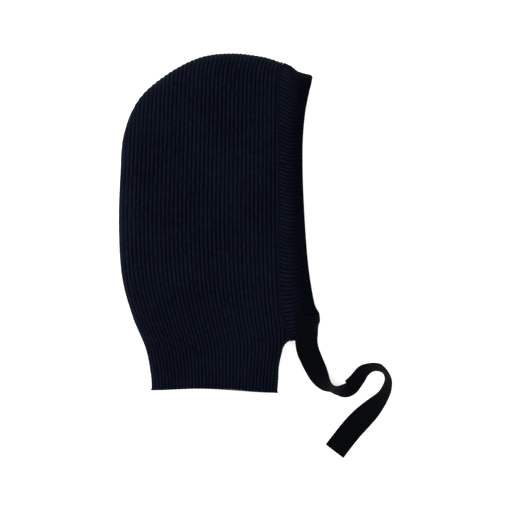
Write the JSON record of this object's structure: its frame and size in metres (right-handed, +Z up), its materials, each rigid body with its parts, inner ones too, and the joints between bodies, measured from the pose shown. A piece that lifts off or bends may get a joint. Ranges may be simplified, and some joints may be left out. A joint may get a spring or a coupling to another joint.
{
  "type": "balaclava",
  "caption": "Rib-knit balaclava hood lying flat on its side, with a folded face band and a ribbon tie at the chin that lies in a loose loop beside it.",
  "frame": {"origin": "middle of the hood's footprint, without the free tie, on the surface that it lies on", "axes": "+Z up off the surface, +Y from the neck hem to the crown, +X from the back of the head to the face"},
  "size_m": [0.2987, 0.4443, 0.033],
  "materials": {
    "rib_knit": "matte navy wool-blend rib knit",
    "band_knit": "matte darker navy rib knit, folded double",
    "linking_yarn": "matte navy linking chain",
    "ribbon": "black grosgrain ribbon with a low sheen",
    "sewing_thread": "black polyester sewing thread",
    "label_satin": "blank off-white satin tape"
  },
  "bodies": {
    "hood": {"right_side_panel": "rib_knit", "left_side_panel": "rib_knit", "crown_and_back_seam": "linking_yarn", "neck_front_seam": "linking_yarn", "face_band": "band_knit", "face_band_seam": "linking_yarn", "right_tie_sewn_end": "ribbon", "right_tie_sewing": "sewing_thread", "left_tie_sewn_end": "ribbon", "left_tie_sewing": "sewing_thread", "care_label": "label_satin"},
    "right_tie": {"right_tie": "ribbon", "right_tie_hem_thread": "sewing_thread"}
  },
  "joints": [
    {"name": "right_tie_lift", "type": "hinge", "parent": "hood", "child": "right_tie", "pos_m": [0.0956, -0.113, 0.01952], "axis": [-0.9403, -0.0136, 0.3401], "range_deg": [0, 110]}
  ]
}
